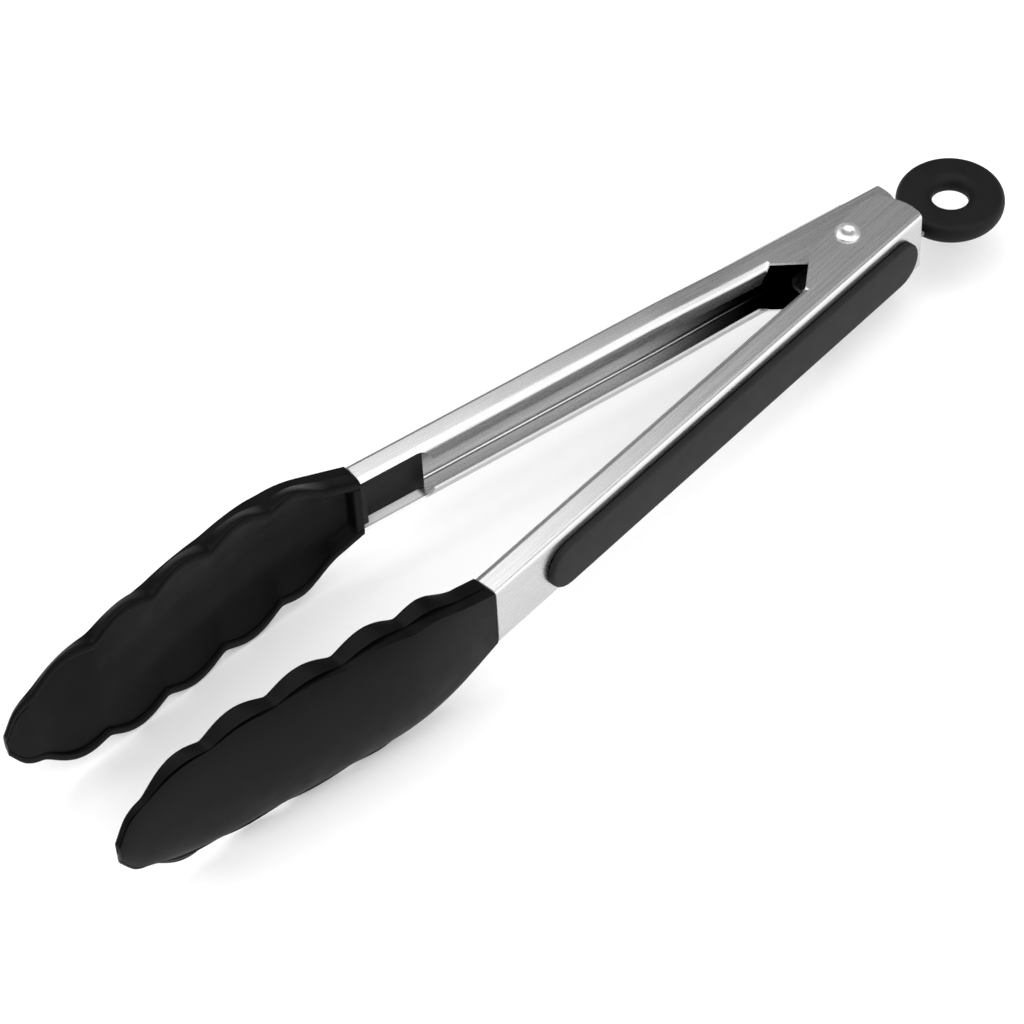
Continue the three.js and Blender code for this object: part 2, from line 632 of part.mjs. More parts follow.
// Stand the bounding box's bottom centre on the origin.
const bounds = new THREE.Box3().setFromObject(tongs);
const centre = bounds.getCenter(new THREE.Vector3());
tongs.position.set(-centre.x, -centre.y, -bounds.min.z);

export default tongs;
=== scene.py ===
"""Looks of the spring loaded kitchen tongs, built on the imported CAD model.

Shapes are drawn in millimetres about the rivet, most of them in an arm's own frame: u runs forward along
the arm, p outward from the rivet line to the web, and z along the rivet. add_mesh() turns them into metres.
"""

import math

import bmesh
import bpy
from mathutils import Matrix, Vector
from mathutils.geometry import delaunay_2d_cdt


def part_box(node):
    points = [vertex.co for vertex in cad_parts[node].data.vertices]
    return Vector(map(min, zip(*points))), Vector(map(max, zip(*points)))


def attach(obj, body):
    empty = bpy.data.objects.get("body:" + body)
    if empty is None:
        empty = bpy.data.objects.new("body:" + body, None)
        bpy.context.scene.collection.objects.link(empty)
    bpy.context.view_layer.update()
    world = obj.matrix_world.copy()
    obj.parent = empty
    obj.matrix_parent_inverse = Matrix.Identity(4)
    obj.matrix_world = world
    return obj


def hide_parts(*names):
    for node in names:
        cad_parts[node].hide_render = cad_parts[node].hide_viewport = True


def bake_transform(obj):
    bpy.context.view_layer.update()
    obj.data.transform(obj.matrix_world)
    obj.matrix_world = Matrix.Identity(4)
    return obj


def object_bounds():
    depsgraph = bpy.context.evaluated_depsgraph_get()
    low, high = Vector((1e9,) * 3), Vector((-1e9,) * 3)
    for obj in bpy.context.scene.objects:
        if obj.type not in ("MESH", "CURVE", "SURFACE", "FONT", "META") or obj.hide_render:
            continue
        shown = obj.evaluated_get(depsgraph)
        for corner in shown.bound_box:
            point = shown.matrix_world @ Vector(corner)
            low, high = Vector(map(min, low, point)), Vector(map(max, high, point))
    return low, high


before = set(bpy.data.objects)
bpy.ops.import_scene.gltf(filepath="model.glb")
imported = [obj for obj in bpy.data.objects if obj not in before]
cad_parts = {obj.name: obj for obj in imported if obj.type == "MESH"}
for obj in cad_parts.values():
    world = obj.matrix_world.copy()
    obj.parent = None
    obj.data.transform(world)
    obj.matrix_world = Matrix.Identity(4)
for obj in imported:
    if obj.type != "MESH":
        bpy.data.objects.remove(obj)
CAD_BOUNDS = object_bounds()

MM = 0.001

# ---- Driving dimensions, mm and degrees ----

HALF_OPENING = 6.8
SHEET = 0.7
FIT_GAP = 0.3

OUTER_HALF_HEIGHT = 10.7
INNER_HALF_HEIGHT = 10.6
NESTED_HALF_HEIGHT = OUTER_HALF_HEIGHT - SHEET - FIT_GAP
STEP_REAR_U = 26           # the inner arm widens between these
STEP_FRONT_U = 66

WEB_P = 11.9
WEB_BEND_R = 1.8
LIP_BEND_R = 2.6
LIP_BEND_P = 6.1
LIP_BEND_ANGLE = 70
LIP_LENGTH = 2.8
FRONT_BEND_ANGLE = 50
BEND_REAR_U = 24.2         # the lip's bend grows from nothing between these
BEND_FULL_U = 26.6

ARM_FRONT_U = 163.5
LIP_FRONT_U = 141.0
LIP_REAR_U = 26.0
LIP_SLANT = 2.0            # the lip's rear end is cut at a slant
LIP_CORNER_R = 1.2
LIP_FADE_R = 4.0           # concave corner where the lip is trimmed off
NOTCH_U = 24.6
NOTCH_P = 4.4
EAR_FRONT_U = 11.3
EAR_P = -4.6
EAR_CORNER_R = 6.2
EAR_CORNER_U = -13.0
EAR_REAR_BULGE_U = -21.3
ARM_REAR_CORNER_U = -18.6
RIVET_HOLE_R = 2.6
SHEET_EDGE_R = 0.28        # rounding of the cut edges

# The arms are one steel: the outer arm's outside is painted lighter and the inner's darker, as painted light
# and shade.
OUTSIDE_LIT_AND_SHADED_BRIGHTNESS = {"outer": 0.56, "inner": 0.50}
INSIDE_BRIGHTNESS = 0.5
INSIDE_PAINTED_SHADE_U = 22         # the inside faces are painted dark up to here, as painted shade
PAINTED_SHADE_DARKEST = 0.02      # of their full brightness
INSIDE_SHADE_END_U = 75       # and fully bright from here
MATT_AND_HIGHLIGHT_REAR_U = 140.5        # between these they turn matt and get a painted highlight, towards the front
MATT_AND_HIGHLIGHT_FULL_U = 142.5
PAINTED_HIGHLIGHT_GAIN = 1.9            # of brightness, a painted highlight

RIVET_SEAT_GAP = 0.05
RIVET_HEAD_R = 3.75
RIVET_HEAD_HEIGHT = 0.95
RIVET_EDGE_HEIGHT = 0.3
RIVET_SHANK_R = 2.4
RIVET_DISH_R = 2.0
RIVET_DISH_DEPTH = 0.45

WIRE_R = 0.7
COIL_R = 5.1
COIL_TURNS = 4.5
COIL_BOTTOM_Z = -2.2
COIL_TOP_Z = 4.4
SPRING_LEG_U = 24
SPRING_KNEE = (1.5, 1.6)   # how far in front of and beside the coil the legs bend

RING_X = -42.5
RING_OUTER_R = 16.0
RING_HOLE_R = 5.3
RING_FUNNEL_R = 8.6
RING_THICKNESS = 6.4
RING_EDGE_R = 2.3
RING_Z = -5.0

GRIP_REAR_U = -15.6
GRIP_FRONT_U = 143.6
GRIP_THICKNESS = 2.1
GRIP_HALF_WIDTH = 7.65
GRIP_Z = -1.05
GRIP_FILLET_R = 0.9
GRIP_CROWN = 0.25

HEAD_REAR_U = ARM_FRONT_U + FIT_GAP
HEAD_TIP_U = 283.45
LOBE_PITCH = 20.3
FIRST_VALLEY_U = 192.6
LOBE_HEIGHT = 3.49
LOBE_SOFTNESS = 0.12       # rounds the valleys between the lobes
LOBE_START_U = HEAD_REAR_U + 4      # the lobes grow between these
LOBE_FULL_U = FIRST_VALLEY_U - 6
LOBE_TIP_FADE = 16         # length over which they shrink at the tip
LOBE_TIP_SHARE = 0.35      # of their height, left at the tip
RIM_BAND = 4.4             # height of the side wall that carries the lobes
RIM_WALL = 3.0
RIM_FILLET_R = 0.6
BAND_FOOT = 0.35           # the band starts this far out from the shoulder to the rim
SHOULDER_INSET = 0.6       # from the valleys in to the edge of the back
SHOULDER_SWELL = 0.25      # how much of each lobe that edge follows
CREASE_DEPTH = 0.6         # groove between the back and the band
CREASE_WIDTH = 0.2
BACK_OVERHANG = 1.2
BACK_ROUNDNESS = 0.97
UPPER_FULLNESS = 0.5       # of the crown, on the upper side
FLOOR_THICKNESS = 4.9
FLOOR_HALF_WIDTH = 7.5
SCOOP_EDGE_DEPTH = 0.8     # the scoop's wall starts to slope this far inside the rim
HEEL_WALL = 2.0
HEEL_SLOPE = 1.5           # length over which the floor rises to the heel wall
TIP_WALL = 7.0
TIP_SLOPE = 8.0
TIP_RISE = 1.2             # the tip turns up by this much, in front of TIP_RISE_U
TIP_RISE_U = 246
HEAD_STEP = 1.0            # spacing of the head's stations

# Limits near the narrow tip: the shoulder as a share of the valleys, the scoop's wall and the fillet as shares
# of the rim, the floor as a share of the wall, and the crease as a share of the band.
SHOULDER_LEAST = 0.6
WALL_LEAST = 0.3
FILLET_MOST = 0.2
FLOOR_MOST = 0.7
CREASE_MOST = 0.3

# Head stations: (u, value). Width is at the valleys of the rim; p is positive towards the back.
RIM_HALF_WIDTH = (
    (163, 10.5), (178, 15.8), (193, 19.8), (214, 21.2), (234, 21.2), (254, 19.8), (270, 15.4), (279, 10.0),
    (284, 2.0),
)
RIM_P = ((163, 3.9), (180, 3.6), (193, 2.2), (213, -0.8), (233, -4.6), (253, -8.1), (274, -9.9), (284, -10.5))
BACK_P = (
    (163, 11.9), (180, 12.38), (193, 11.88), (205, 9.8), (216, 7.3), (228, 4.4), (242, 0.6), (256, -2.9),
    (270, -6.0), (284, -8.8),
)
BACK_CROWN = ((163, 0.4), (180, 3.4), (195, 6.2), (215, 7.6), (235, 7.4), (255, 5.4), (272, 3.6), (284, 1.6))

# ---- Camera and stage ----

# Softboxes aimed at the origin: (name, place in metres, size in metres, watts).
SOFTBOXES = (
    ("back_softbox", (-0.05, -0.5, 1.0), (0.9, 0.6), 3.4),
    ("top_softbox", (0.1, 0.6, 1.9), (2.6, 2.6), 40),
    ("side_softbox", (-0.5, 1.15, 0.45), (1.6, 0.9), 8),
    ("edge_softbox", (0.9, -0.68, 0.6), (0.8, 0.6), 4),
)
WORLD_STRENGTH = 0.3
FLOOR_HALF_SIZE = 3.0      # metres
FLOOR_GLOW = 0.12          # the floor is lit a little from below, so that the shadows stay faint

CAMERA_LENS = 136.2        # mm on a 36 mm sensor
CAMERA_DISTANCE = 1.0524
CAMERA_AZIMUTH = 51.09     # degrees from +X towards +Y
CAMERA_ELEVATION = 48.79
CAMERA_ROLL = -3.49
CAMERA_AIM = (0.0213, 0.0057)   # from the middle of the model, in x and y


# ---- Small helpers ----

def lerp(a, b, t):
    return a + (b - a) * t


def smoothstep(x, low, high):
    t = min(max((x - low) / (high - low), 0), 1)
    return t * t * (3 - 2 * t)


def through(stations):
    """Smooth interpolation through (u, value) stations."""
    last = len(stations) - 1

    def slope(i):
        before = stations[max(i - 1, 0)]
        after = stations[min(i + 1, last)]
        return (after[1] - before[1]) / (after[0] - before[0])

    def value(u):
        i = 0
        while i < last - 1 and stations[i + 1][0] <= u:
            i += 1
        u0, v0 = stations[i]
        u1, v1 = stations[i + 1]
        span = u1 - u0
        t = min(max((u - u0) / span, 0), 1)
        rise = slope(i) * span * (t ** 3 - 2 * t ** 2 + t) + slope(i + 1) * span * (t ** 3 - t ** 2)
        return v0 * (2 * t ** 3 - 3 * t ** 2 + 1) + v1 * (3 * t ** 2 - 2 * t ** 3) + rise

    return value


def arc(centre, radius, start, end, steps):
    """Points on an arc, ends included, with angles in degrees."""
    points = []
    for i in range(steps + 1):
        angle = math.radians(lerp(start, end, i / steps))
        points.append((centre[0] + radius * math.cos(angle), centre[1] + radius * math.sin(angle)))
    return points


def add_mesh(name, vertices, faces, matrix, material, body, node, sharp_angle=40):
    """A new smooth-shaded piece that rides on a body and stands for a CAD node. Vertices are in mm."""
    mesh = bpy.data.meshes.new(name)
    mesh.from_pydata([Vector(v) * MM for v in vertices], [], faces)
    builder = bmesh.new()
    builder.from_mesh(mesh)
    bmesh.ops.recalc_face_normals(builder, faces=builder.faces)
    builder.to_mesh(mesh)
    builder.free()
    mesh.shade_smooth()
    mesh.set_sharp_from_angle(angle=math.radians(sharp_angle))
    mesh.materials.append(material)
    obj = bpy.data.objects.new(name, mesh)
    obj.matrix_world = matrix
    bpy.context.collection.objects.link(obj)
    if body:
        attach(obj, body)
    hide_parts(node)
    return obj


def ring_faces(ring_count, point_count, closed_rows=False):
    """Quads that skin a row of closed rings, with or without joining the last ring to the first."""
    faces = []
    rows = ring_count if closed_rows else ring_count - 1
    for i in range(rows):
        for j in range(point_count):
            a = i * point_count + j
            b = i * point_count + (j + 1) % point_count
            c = (i + 1) % ring_count * point_count + (j + 1) % point_count
            d = (i + 1) % ring_count * point_count + j
            faces.append((a, b, c, d))
    return faces


def revolve(profile, segments):
    """Vertices and faces of a (radius, height) outline that closes on itself, turned about Z."""
    vertices = []
    for i in range(segments):
        angle = 2 * math.pi * i / segments
        vertices += [(r * math.cos(angle), r * math.sin(angle), z) for r, z in profile]
    return vertices, ring_faces(segments, len(profile), closed_rows=True)


def pivot_matrix():
    """The rivet line at the middle of the bush."""
    low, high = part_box("spring_bush")
    return Matrix.Translation((Vector(low) + Vector(high)) / 2)


def arm_turn(side):
    """Turns one arm by half the opening angle about the rivet."""
    return Matrix.Rotation(math.radians(side * HALF_OPENING), 3, "Z")


# ---- Materials ----

def new_material(name, colour, metallic, roughness):
    """A material and its Principled shader."""
    material = bpy.data.materials.new(name)
    material.use_nodes = True
    shader = material.node_tree.nodes["Principled BSDF"]
    shader.inputs["Base Color"].default_value = (*colour, 1)
    shader.inputs["Metallic"].default_value = metallic
    shader.inputs["Roughness"].default_value = roughness
    return material, shader


def noise(material, scale, detail=2.0, roughness=0.5, turn=0):
    """A noise whose features are 1 / scale metres long on each axis, turned about Z by some degrees."""
    nodes = material.node_tree.nodes
    links = material.node_tree.links
    coordinates = nodes.new("ShaderNodeTexCoord")
    mapping = nodes.new("ShaderNodeMapping")
    mapping.vector_type = "TEXTURE"
    mapping.inputs["Rotation"].default_value = (0, 0, math.radians(turn))
    mapping.inputs["Scale"].default_value = [1 / value for value in scale]
    texture = nodes.new("ShaderNodeTexNoise")
    texture.inputs["Scale"].default_value = 1.0
    texture.inputs["Detail"].default_value = detail
    texture.inputs["Roughness"].default_value = roughness
    links.new(coordinates.outputs["Object"], mapping.inputs["Vector"])
    links.new(mapping.outputs["Vector"], texture.inputs["Vector"])
    return texture.outputs["Fac"]


def spread(material, source, low, high):
    """Maps a noise, which mostly lies between 0.3 and 0.7, to a range."""
    node = material.node_tree.nodes.new("ShaderNodeMapRange")
    node.inputs["From Min"].default_value = 0.3
    node.inputs["From Max"].default_value = 0.7
    node.inputs["To Min"].default_value = low
    node.inputs["To Max"].default_value = high
    material.node_tree.links.new(source, node.inputs["Value"])
    return node.outputs["Result"]


def tint(material, shader, source, dark, light):
    """Colours the surface between two colours by a noise."""
    ramp = material.node_tree.nodes.new("ShaderNodeValToRGB")
    ramp.color_ramp.elements[0].position = 0.3
    ramp.color_ramp.elements[0].color = (*dark, 1)
    ramp.color_ramp.elements[1].position = 0.7
    ramp.color_ramp.elements[1].color = (*light, 1)
    material.node_tree.links.new(source, ramp.inputs["Fac"])
    material.node_tree.links.new(ramp.outputs["Color"], shader.inputs["Base Color"])


def add_bumps(material, shader, *layers):
    """Bump layers, each (noise, height in metres), one on top of the other."""
    links = material.node_tree.links
    below = None
    for source, height in layers:
        bump = material.node_tree.nodes.new("ShaderNodeBump")
        bump.inputs["Strength"].default_value = 1.0
        bump.inputs["Distance"].default_value = height
        links.new(source, bump.inputs["Height"])
        if below:
            links.new(below, bump.inputs["Normal"])
        below = bump.outputs["Normal"]
    links.new(below, shader.inputs["Normal"])


def grey(value):
    """One value for all three channels or axes."""
    return (value, value, value)


def along_arm(material, start_u, end_u, low, high):
    """A value that goes smoothly from low to high between two distances from the pivot."""
    nodes = material.node_tree.nodes
    links = material.node_tree.links
    coordinates = nodes.new("ShaderNodeTexCoord")
    position = nodes.new("ShaderNodeSeparateXYZ")
    blend = nodes.new("ShaderNodeMapRange")
    blend.interpolation_type = "SMOOTHSTEP"
    blend.inputs["From Min"].default_value = start_u * MM
    blend.inputs["From Max"].default_value = end_u * MM
    blend.inputs["To Min"].default_value = low
    blend.inputs["To Max"].default_value = high
    links.new(coordinates.outputs["Object"], position.inputs["Vector"])
    links.new(position.outputs["X"], blend.inputs["Value"])
    return blend.outputs["Result"]


def scale_colour(material, shader, factor):
    """Multiplies the colour that already feeds the shader."""
    links = material.node_tree.links
    base = shader.inputs["Base Color"]
    product = material.node_tree.nodes.new("ShaderNodeVectorMath")
    product.operation = "SCALE"
    links.new(base.links[0].from_socket, product.inputs["Vector"])
    links.new(factor, product.inputs["Scale"])
    links.new(product.outputs["Vector"], base)


def paint_inside_shade_and_front_highlight(material, shader):
    """Painted shade: dark towards the enclosed pivot. Matt at the front, where the lips are trimmed off, and
    brighter there as a painted highlight.
    """
    # Painted shade: the inside colour darkens towards the pivot.
    scale_colour(material, shader, along_arm(material, INSIDE_PAINTED_SHADE_U, INSIDE_SHADE_END_U, PAINTED_SHADE_DARKEST, 1))
    # Painted highlight: the colour is brightened at the trimmed front, where it also turns matt.
    scale_colour(material, shader, along_arm(material, MATT_AND_HIGHLIGHT_REAR_U, MATT_AND_HIGHLIGHT_FULL_U, 1, PAINTED_HIGHLIGHT_GAIN))
    metallic = along_arm(material, MATT_AND_HIGHLIGHT_REAR_U, MATT_AND_HIGHLIGHT_FULL_U, 1, 0)
    material.node_tree.links.new(metallic, shader.inputs["Metallic"])


def brushed_steel(arm, face, brightness):
    """Stainless sheet of one arm, outside or inside, brushed along it with fine streaks. Its brightness holds
    painted light and shade per arm, and the inside adds painted shade near the pivot and a painted highlight at
    the front.
    """
    material, shader = new_material(f"{arm.prefix}_stainless_{face}", grey(brightness), 1.0, 0.3)
    turn = arm.side * HALF_OPENING
    streaks = noise(material, (90, 5200, 5200), turn=turn)
    long_streaks = noise(material, (20, 1500, 1500), turn=turn)
    tint(material, shader, streaks, grey(0.93 * brightness), grey(1.07 * brightness))
    material.node_tree.links.new(spread(material, long_streaks, 0.24, 0.31), shader.inputs["Roughness"])
    add_bumps(material, shader, (streaks, 0.000002), (long_streaks, 0.000002))
    if face == "inside":
        paint_inside_shade_and_front_highlight(material, shader)
    return material


def cut_edge_with_painted_highlight():
    """The slightly rough sheared edge of the sheet, painted bright along it as a painted highlight."""
    # Painted highlight: the edge's colour is much brighter than the sheet's.
    material, shader = new_material("sheared_edge_highlight", grey(0.85), 0.5, 0.5)
    grain = noise(material, grey(2500), detail=2)
    tint(material, shader, grain, grey(0.75), grey(0.95))
    material.node_tree.links.new(spread(material, grain, 0.42, 0.58), shader.inputs["Roughness"])
    add_bumps(material, shader, (grain, 0.00001))
    return material


def polished_rivet():
    """Bright steel with a few scratches."""
    material, shader = new_material("polished_rivet", grey(0.9), 1.0, 0.35)
    marks = noise(material, (900, 900, 900), detail=2)
    scratches = noise(material, (300, 6000, 6000), detail=2)
    tint(material, shader, marks, grey(0.86), grey(0.94))
    material.node_tree.links.new(spread(material, marks, 0.3, 0.4), shader.inputs["Roughness"])
    add_bumps(material, shader, (marks, 0.00001), (scratches, 0.000003))
    return material


def spring_steel():
    """Dark drawn wire."""
    material, shader = new_material("spring_steel", grey(0.1), 1.0, 0.35)
    drawn = noise(material, (3000, 3000, 3000), detail=3)
    tint(material, shader, drawn, grey(0.07), grey(0.12))
    material.node_tree.links.new(spread(material, drawn, 0.28, 0.45), shader.inputs["Roughness"])
    add_bumps(material, shader, (drawn, 0.000008))
    return material


def zinc_strip():
    """Dull plated strip with rolling marks."""
    material, shader = new_material("zinc_strip", grey(0.35), 1.0, 0.45)
    spangle = noise(material, (700, 700, 700), detail=3)
    rolled = noise(material, (60, 2500, 2500), detail=2)
    tint(material, shader, spangle, grey(0.28), grey(0.4))
    material.node_tree.links.new(spread(material, spangle, 0.38, 0.55), shader.inputs["Roughness"])
    add_bumps(material, shader, (spangle, 0.000008), (rolled, 0.000006))
    return material


def soft_polymer(name, dark, light, roughness, specular, grain, grain_height):
    """Moulded rubber or silicone: a fine grain, faint mottling and patches that are a little glossier."""
    material, shader = new_material(name, light, 0.0, roughness)
    shader.inputs["Specular IOR Level"].default_value = specular
    mottle = noise(material, grey(140), detail=3)
    fine = noise(material, grey(grain), detail=2)
    swell = noise(material, grey(60), detail=1)
    tint(material, shader, mottle, dark, light)
    material.node_tree.links.new(spread(material, mottle, roughness - 0.05, roughness + 0.06),
                                 shader.inputs["Roughness"])
    add_bumps(material, shader, (swell, 0.00012), (fine, grain_height))
    return material


def moulded_nylon():
    """Hard black plastic with faint flow marks."""
    material, shader = new_material("moulded_nylon", grey(0.005), 0.0, 0.4)
    shader.inputs["Specular IOR Level"].default_value = 0.15
    flow = noise(material, (80, 500, 500), detail=3)
    fine = noise(material, grey(3500), detail=1)
    tint(material, shader, flow, grey(0.004), grey(0.007))
    material.node_tree.links.new(spread(material, flow, 0.34, 0.48), shader.inputs["Roughness"])
    add_bumps(material, shader, (flow, 0.00002), (fine, 0.000012))
    return material


# ---- Arms ----

class Arm:
    """One jaw: its side of the bisector, its body and its channel's half heights."""

    def __init__(self, prefix, side, half_height, ear_half_height):
        self.prefix = prefix
        self.side = side
        self.body = f"{prefix}_jaw"
        self.half_height = half_height
        self.ear_half_height = ear_half_height
        self.turn = arm_turn(side)

    def height_at(self, u):
        """Half height of the channel, with its smooth step in front of the ears."""
        return lerp(self.ear_half_height, self.half_height, smoothstep(u, STEP_REAR_U, STEP_FRONT_U))

    def to_mesh(self, points):
        """(u, p, z) points as mesh coordinates about the rivet, mirrored on the inner arm."""
        return [self.turn @ Vector((u, self.side * p, z)) for u, p, z in points]


# The sheet is drawn flat as (u, v) and then folded. v runs across the sheet from the middle of the web.
MID_WEB_R = WEB_BEND_R - SHEET / 2
MID_LIP_R = LIP_BEND_R - SHEET / 2
FLAT_WEB = 9.0                                     # nominal, stretched to the web's real half height
FLAT_CORNER = FLAT_WEB + MID_WEB_R * math.pi / 2
FLANGE_TOP_P = WEB_P - SHEET / 2 - MID_WEB_R
FLAT_LIP_BEND = FLAT_CORNER + FLANGE_TOP_P - LIP_BEND_P
FLAT_TRIM = FLAT_LIP_BEND + MID_LIP_R * math.radians(FRONT_BEND_ANGLE)
FLAT_LIP_EDGE = FLAT_LIP_BEND + MID_LIP_R * math.radians(LIP_BEND_ANGLE) + LIP_LENGTH


def flat_flange(p):
    """Where the flat flange reaches p, in the flat sheet."""
    return FLAT_CORNER + FLANGE_TOP_P - p


def fold(arm, u, v):
    """Folds a point of the flat sheet: gives (u, p, z) on the middle of the sheet."""
    top = arm.height_at(u) - SHEET / 2
    web = top - MID_WEB_R
    up = 1 if v >= 0 else -1
    v = abs(v)
    if v <= FLAT_WEB:
        return u, WEB_P - SHEET / 2, up * web * v / FLAT_WEB
    if v <= FLAT_CORNER:
        angle = (v - FLAT_WEB) / MID_WEB_R
        return u, FLANGE_TOP_P + MID_WEB_R * math.cos(angle), up * (web + MID_WEB_R * math.sin(angle))
    if v <= FLAT_LIP_BEND:
        return u, FLANGE_TOP_P - (v - FLAT_CORNER), up * top
    bend = math.radians(LIP_BEND_ANGLE) * smoothstep(u, BEND_REAR_U, BEND_FULL_U)
    angle = min((v - FLAT_LIP_BEND) / MID_LIP_R, bend)
    straight = v - FLAT_LIP_BEND - angle * MID_LIP_R
    p = LIP_BEND_P - MID_LIP_R * math.sin(angle) - straight * math.cos(angle)
    drop = MID_LIP_R * (1 - math.cos(angle)) + straight * math.sin(angle)
    return u, p, up * (top - drop)


def rear_edge(p):
    """The bulged rear edge of the ear at p, above its round corner."""
    low = EAR_P + EAR_CORNER_R
    t = (p - low) / (WEB_P + 1 - low)
    rear = EAR_CORNER_U - EAR_CORNER_R
    return (1 - t) ** 2 * rear + 2 * t * (1 - t) * EAR_REAR_BULGE_U + t ** 2 * ARM_REAR_CORNER_U


def flat_outline():
    """Outline of the flat sheet, one side from the front to the rear and the other side back."""
    side = [(ARM_FRONT_U, FLAT_TRIM)]
    side += arc((LIP_FRONT_U + LIP_FADE_R, FLAT_TRIM + LIP_FADE_R), LIP_FADE_R, 270, 190, 6)
    side += [(LIP_FRONT_U, FLAT_LIP_EDGE)]
    corner_u = LIP_REAR_U + LIP_SLANT + LIP_CORNER_R
    side += arc((corner_u, FLAT_LIP_EDGE - LIP_CORNER_R), LIP_CORNER_R, 90, 160, 6)
    side += [(NOTCH_U, flat_flange(NOTCH_P)), (EAR_FRONT_U, flat_flange(EAR_P))]
    corner = arc((EAR_CORNER_U, EAR_P + EAR_CORNER_R), EAR_CORNER_R, 270, 180, 10)
    side += [(u, flat_flange(p)) for u, p in corner]
    side += [(rear_edge(p), flat_flange(p)) for p in (3.5, 5.5, 7.5, FLANGE_TOP_P)]
    side += [(rear_edge(WEB_P), FLAT_WEB)]
    return side + [(u, -v) for u, v in reversed(side)]


def is_inside(point, outline):
    """Even-odd test of a point against a closed outline."""
    x, y = point
    inside = False
    for (x0, y0), (x1, y1) in zip(outline, outline[1:] + outline[:1]):
        if (y0 > y) != (y1 > y) and x < x0 + (y - y0) * (x1 - x0) / (y1 - y0):
            inside = not inside
    return inside


def fold_lines(arm):
    """Lines of the flat sheet that the mesh keeps as edges, so that bends stay round."""
    corner = [lerp(FLAT_WEB, FLAT_CORNER, i / 8) for i in range(9)]
    lip = [FLAT_LIP_BEND + MID_LIP_R * math.radians(LIP_BEND_ANGLE) * i / 8 for i in range(9)]
    across = [sign * v for v in corner + lip for sign in (1, -1)]
    lines = [((-30, v), (ARM_FRONT_U + 5, v)) for v in across]
    along = [lerp(BEND_REAR_U, BEND_FULL_U, i / 6) for i in range(7)]
    if arm.ear_half_height < arm.half_height:
        along += [lerp(STEP_REAR_U, STEP_FRONT_U, i / 12) for i in range(13)]
    lines += [((u, -30), (u, 30)) for u in along]
    return lines


def flat_triangles(arm):
    """Triangles of the flat sheet, with both rivet holes cut out."""
    outline = flat_outline()
    holes = [arc((0, sign * flat_flange(0)), RIVET_HOLE_R, 0, 350, 35) for sign in (1, -1)]
    points = []
    edges = []
    for loop in [outline] + holes:
        start = len(points)
        count = len(loop)
        points += [Vector(point) for point in loop]
        edges += [(start + i, start + (i + 1) % count) for i in range(count)]
    for line in fold_lines(arm):
        edges.append((len(points), len(points) + 1))
        points += [Vector(point) for point in line]
    flat, _, faces, *_ = delaunay_2d_cdt(points, edges, [], 0, 1e-4)
    kept = []
    for face in faces:
        middle = sum((flat[i] for i in face), Vector((0, 0))) / len(face)
        if is_inside(middle, outline) and not any(is_inside(middle, hole) for hole in holes):
            kept.append(tuple(face))
    return flat, kept


def build_arm(arm, outside, inside, edge):
    """Folded sheet with its thickness; the inside faces and the cut edges have materials of their own, with
    painted shade on the inside near the pivot and a painted highlight on the cut edges.
    """
    flat, faces = flat_triangles(arm)
    used = sorted({i for face in faces for i in face})
    place = {old: new for new, old in enumerate(used)}
    vertices = arm.to_mesh([fold(arm, *flat[i]) for i in used])
    faces = [tuple(place[i] for i in face) for face in faces]
    obj = add_mesh(f"{arm.prefix}_arm_sheet", vertices, faces, pivot_matrix(), outside, arm.body,
                   f"{arm.prefix}_arm", sharp_angle=60)
    thickness = obj.modifiers.new("sheet", "SOLIDIFY")
    thickness.thickness = SHEET * MM
    thickness.offset = 0
    obj.data.materials.append(inside)
    obj.data.materials.append(edge)
    thickness.material_offset = 1
    thickness.material_offset_rim = 2
    add_edge_break(obj, SHEET_EDGE_R)
    return obj


def add_edge_break(obj, radius, segments=2):
    """Rounds the sharp edges and keeps the flat faces flat in the shading."""
    bevel = obj.modifiers.new("edge break", "BEVEL")
    bevel.width = radius * MM
    bevel.segments = segments
    bevel.limit_method = "ANGLE"
    bevel.angle_limit = math.radians(50)
    bevel.harden_normals = True
    weighted = obj.modifiers.new("flat faces", "WEIGHTED_NORMAL")
    weighted.keep_sharp = True


# ---- Pivot ----

def build_rivet(material):
    """Shank between two domed heads; the upper one is dished in the middle."""
    seat = OUTER_HALF_HEIGHT + RIVET_SEAT_GAP
    top = seat + RIVET_HEAD_HEIGHT
    dome_height = RIVET_HEAD_HEIGHT - RIVET_EDGE_HEIGHT
    dome_width = RIVET_HEAD_R - RIVET_DISH_R - 0.05
    dome = [
        (RIVET_HEAD_R - dome_width * (1 - x), top - dome_height * (1 - y))
        for x, y in arc((0, 0), 1, 0, 90, 8)
    ]
    dish = [
        (lerp(RIVET_DISH_R, 0.001, t), top - RIVET_DISH_DEPTH * smoothstep(t, 0, 0.8))
        for t in (0, 0.15, 0.3, 0.45, 0.6, 0.8, 1)
    ]
    lower_dome = [(r, -z) for r, z in reversed(dome)]
    profile = [(0.001, -top)] + lower_dome + [(RIVET_HEAD_R, -seat), (RIVET_SHANK_R, -seat)]
    profile += [(RIVET_SHANK_R, seat), (RIVET_HEAD_R, seat)] + dome + dish
    vertices, faces = revolve(profile, 48)
    return add_mesh("rivet", vertices, faces, pivot_matrix(), material, "outer_jaw",
                    "pivot_rivet")


